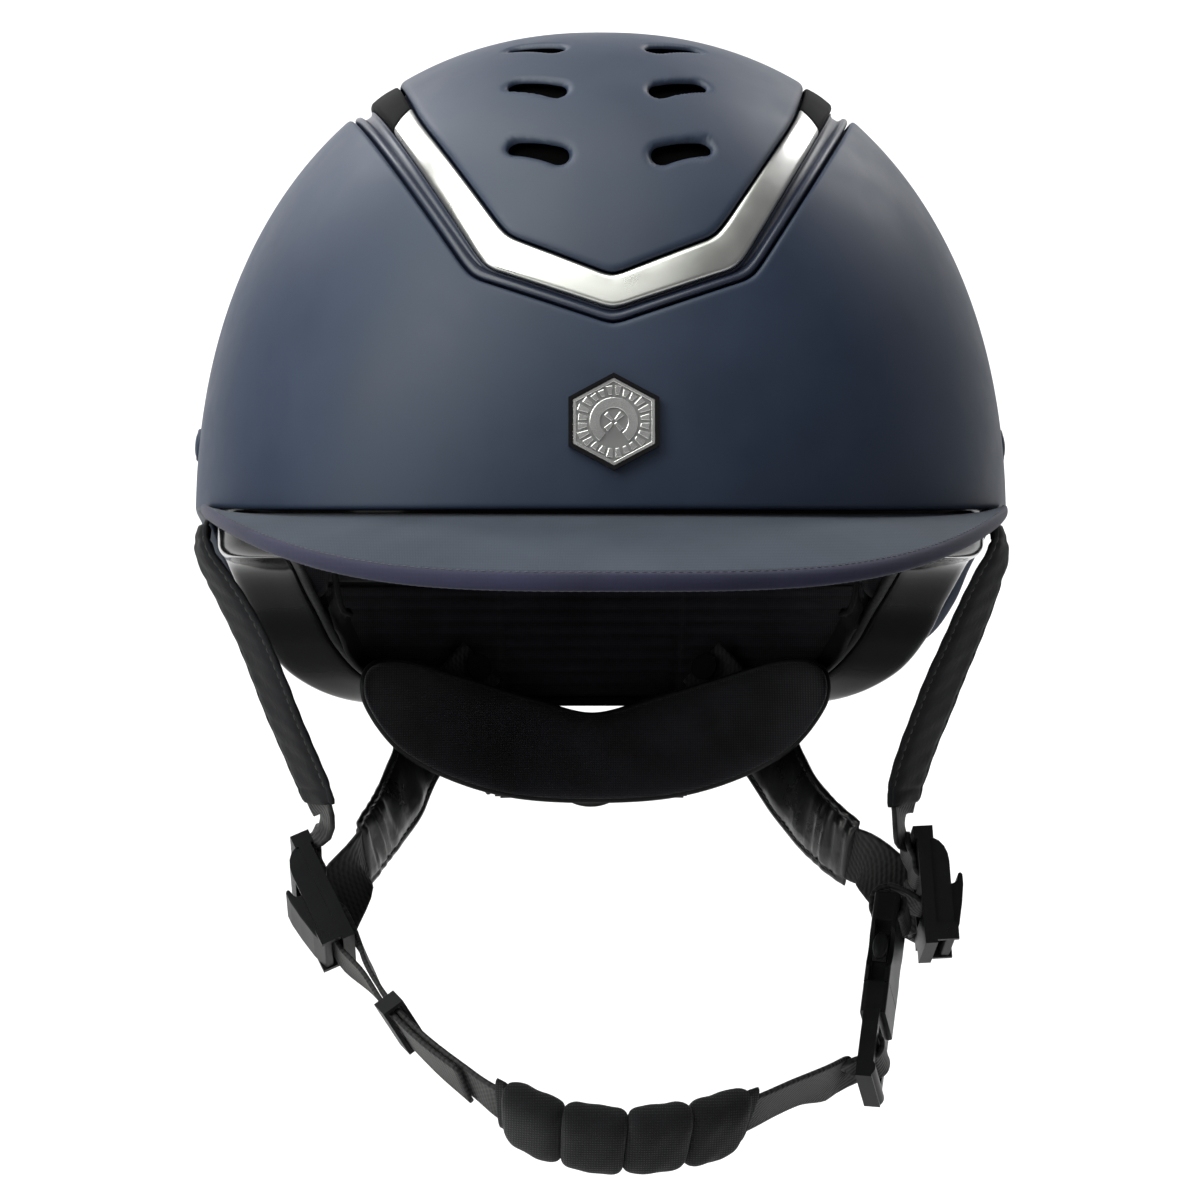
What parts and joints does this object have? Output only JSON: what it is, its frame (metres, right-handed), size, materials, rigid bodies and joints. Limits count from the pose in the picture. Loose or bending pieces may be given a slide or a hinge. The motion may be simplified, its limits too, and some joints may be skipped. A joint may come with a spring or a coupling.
{
  "type": "equestrian riding helmet",
  "caption": "Riding helmet with a peak, vented crown panel in a chevron trim, foam liner, dial nape cradle and a buckled harness with a padded chin strap.",
  "frame": {"origin": "where the wearer's head sits: mid plane, ear line, widest level of the shell", "axes": "+Z towards the crown, -Y the way the wearer looks (the peak's side), +X the wearer's left"},
  "size_m": [0.2203, 0.305, 0.3072],
  "materials": {
    "shell_navy": "matte",
    "panel_navy": "matte",
    "surround_navy": "satin",
    "chrome_trim": "satin",
    "gloss_black": "gloss",
    "rim_gloss": "gloss",
    "screen_black": "matte",
    "badge_silver": "polished",
    "badge_black": "gloss",
    "peak_fabric": "matte",
    "peak_binding": "matte",
    "peak_plastic": "matte",
    "peak_lining": "matte",
    "piping": "satin",
    "foam": "matte",
    "liner_fabric": "matte",
    "nape_fabric": "matte",
    "steel": "satin",
    "nylon": "satin",
    "dial_rubber": "matte",
    "webbing": "matte",
    "strap_leather": "matte",
    "rear_leather": "gloss",
    "divider_plastic": "satin",
    "pin_steel": "satin",
    "chin_fabric": "matte",
    "buckle_plastic": "satin"
  },
  "bodies": {
    "shell": {"outer_shell": "shell_navy", "crown_panel": "panel_navy", "panel_surround": "surround_navy", "chevron_trim": "chrome_trim", "rear_trim": "gloss_black", "vent_mesh": "screen_black", "badge_bezel": "badge_black", "badge_plate": "badge_silver", "peak_cover": "peak_fabric", "peak_core": "peak_plastic", "peak_lining": "peak_lining", "peak_binding": "peak_binding", "lower_rim": "rim_gloss", "rim_piping": "piping", "impact_liner": "foam", "comfort_headband": "liner_fabric", "crown_pad": "liner_fabric", "side_rivets": "shell_navy", "rivet_washers": "steel", "arm_studs": "nylon", "rear_anchors": "nylon", "cradle_arm_left": "nylon", "cradle_arm_right": "nylon", "front_webbing_left": "webbing", "front_webbing_right": "webbing", "front_sleeve_left": "strap_leather", "front_sleeve_right": "strap_leather", "rear_webbing_left": "webbing", "rear_webbing_right": "webbing", "rear_sleeve_left": "rear_leather", "rear_sleeve_right": "rear_leather", "divider_body_left": "divider_plastic", "divider_body_right": "divider_plastic", "divider_pin_left": "pin_steel", "divider_pin_right": "pin_steel", "chin_webbing": "webbing", "chin_pad": "chin_fabric", "strap_keeper": "divider_plastic", "buckle_loop": "webbing", "buckle_socket": "buckle_plastic"},
    "cradle": {"nape_pad": "nape_fabric", "cradle_housing": "nylon", "cradle_cover": "nylon", "cover_screws": "steel"},
    "dial": {"dial_knob": "dial_rubber", "dial_pinion": "nylon", "dial_screw": "steel"},
    "rack_left": {"rack_left": "nylon"},
    "rack_right": {"rack_right": "nylon"},
    "lever_left": {"divider_lever_left": "divider_plastic"},
    "lever_right": {"divider_lever_right": "divider_plastic"},
    "plug": {"buckle_plug": "buckle_plastic"},
    "prong_front": {"buckle_prong_front": "buckle_plastic"},
    "prong_rear": {"buckle_prong_rear": "buckle_plastic"}
  },
  "joints": [
    {"name": "cradle_slide", "type": "slide", "parent": "shell", "child": "cradle", "axis": [0, -1, 0], "range_m": [0, 0.01], "deforming": ["cradle_arm_left", "cradle_arm_right"]},
    {"name": "dial_spin", "type": "hinge", "parent": "cradle", "child": "dial", "pos_m": [0, 0.0978, -0.066], "axis": [0, -1, 0], "range_deg": [0, 120]},
    {"name": "rack_left_slide", "type": "slide", "parent": "cradle", "child": "rack_left", "axis": [-1, 0, 0], "range_m": [0, 0.0085]},
    {"name": "rack_right_slide", "type": "slide", "parent": "cradle", "child": "rack_right", "axis": [1, 0, 0], "range_m": [0, 0.0085]},
    {"name": "divider_lever_left_hinge", "type": "hinge", "parent": "shell", "child": "lever_left", "pos_m": [0.09527, 0.00005, -0.11229], "axis": [0, 0.9536, -0.3011], "range_deg": [0, 80]},
    {"name": "divider_lever_right_hinge", "type": "hinge", "parent": "shell", "child": "lever_right", "pos_m": [-0.07464, -0.00178, -0.11411], "axis": [0, -0.9174, 0.3979], "range_deg": [0, 80]},
    {"name": "buckle_release", "type": "slide", "parent": "shell", "child": "plug", "axis": [-0.1539, -0.4347, -0.8873], "range_m": [0, 0.02], "deforming": ["chin_webbing"]},
    {"name": "prong_front_squeeze", "type": "hinge", "parent": "plug", "child": "prong_front", "pos_m": [0.0742, -0.01731, -0.12538], "axis": [-0.972, 0.2282, 0.0568], "range_deg": [0, 6], "stiffness_Nm_per_rad": 0.15, "springref_deg": -1.15},
    {"name": "prong_rear_squeeze", "type": "hinge", "parent": "plug", "child": "prong_rear", "pos_m": [0.07662, -0.00546, -0.1316], "axis": [0.972, -0.2282, -0.0568], "range_deg": [0, 6], "stiffness_Nm_per_rad": 0.15, "springref_deg": -1.15}
  ],
  "couplings": [
    {"joint": "dial_spin", "follows": "cradle_slide", "rad_per_m": 209.33},
    {"joint": "rack_left_slide", "follows": "cradle_slide", "ratio": 0.83776},
    {"joint": "rack_right_slide", "follows": "cradle_slide", "ratio": 0.83776}
  ]
}
